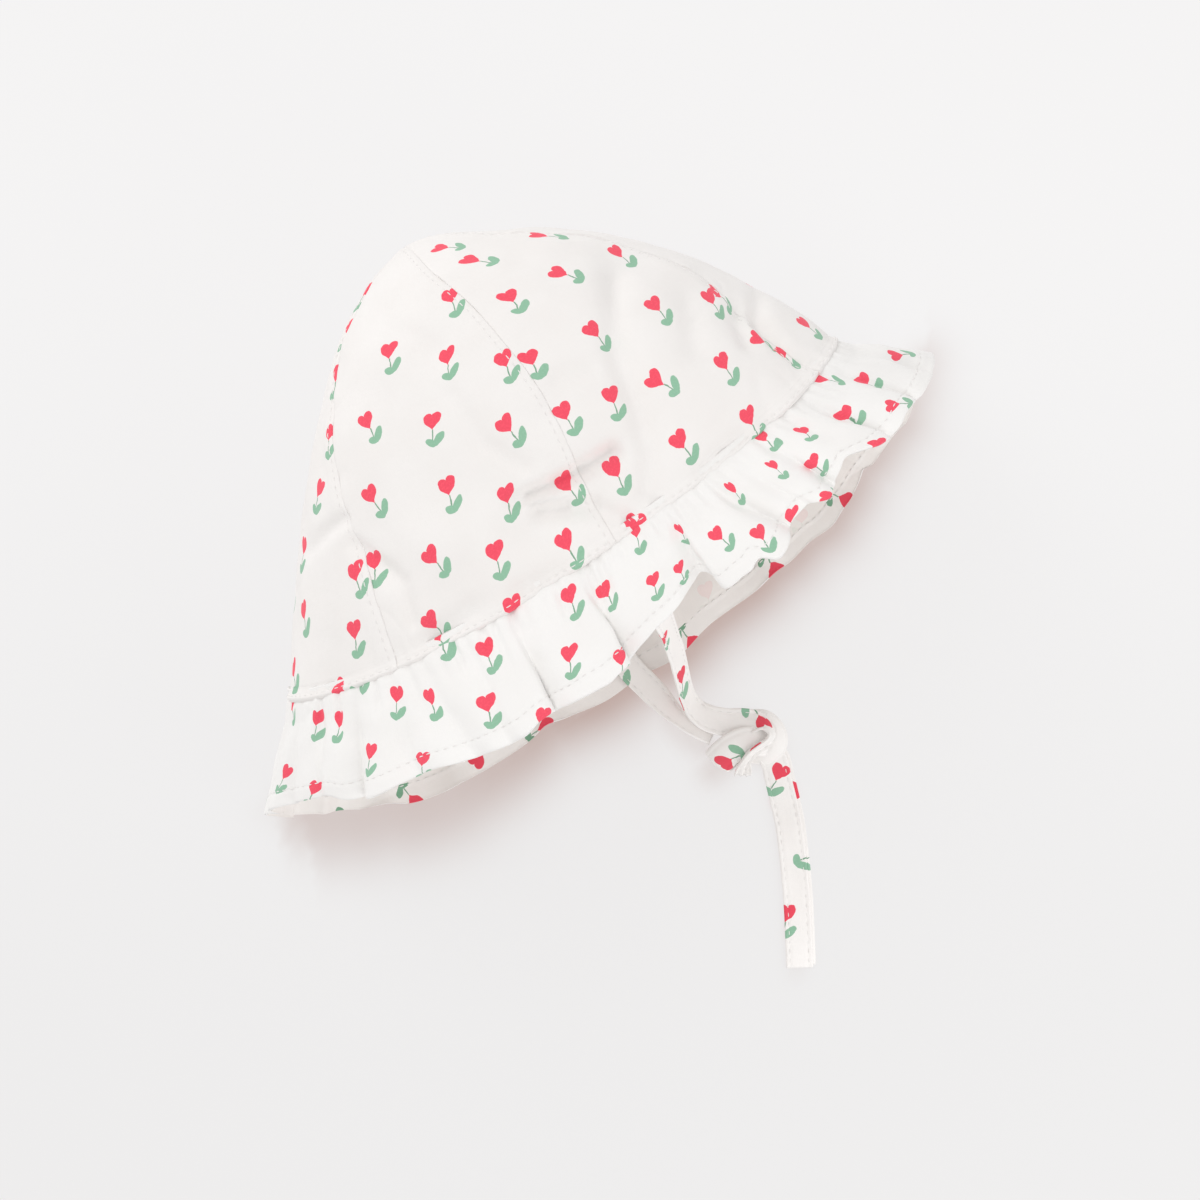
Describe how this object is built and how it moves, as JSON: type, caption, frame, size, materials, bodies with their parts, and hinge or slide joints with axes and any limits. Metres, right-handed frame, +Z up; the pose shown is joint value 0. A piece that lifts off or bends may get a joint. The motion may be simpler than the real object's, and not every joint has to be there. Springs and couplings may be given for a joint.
{
  "type": "baby sun bonnet with ruffle brim and tie straps",
  "caption": "Soft cotton child's bucket sun hat with a gored crown, a gathered ruffle brim and knotted chin ties, lying on its side.",
  "frame": {"origin": "On the floor under the middle of the hat's box, measured without its straps", "axes": "+X along the brim seam, the hat's longest side; +Y from the mouth towards the tip of the crown; +Z up from the floor that the hat lies on"},
  "size_m": [0.2348, 0.2396, 0.1072],
  "materials": {
    "crown_cotton": "matt plain-weave cotton, off-white with a small scattered red heart and green leaf print",
    "ruffle_cotton": "matt plain-weave cotton, off-white, same small print, narrow turned and stitched hem",
    "tie_cotton": "matt plain-weave cotton folded into a narrow edge-stitched strap, same small print"
  },
  "bodies": {
    "root": {"crown_gore_1": "crown_cotton", "crown_gore_2": "crown_cotton", "crown_gore_3": "crown_cotton", "crown_gore_4": "crown_cotton", "crown_gore_5": "crown_cotton", "crown_gore_6": "crown_cotton", "ruffle_brim": "ruffle_cotton", "tie_upper": "tie_cotton", "tie_lower": "tie_cotton", "tie_knot": "tie_cotton", "tie_long_end": "tie_cotton", "tie_short_end": "tie_cotton"}
  },
  "joints": []
}
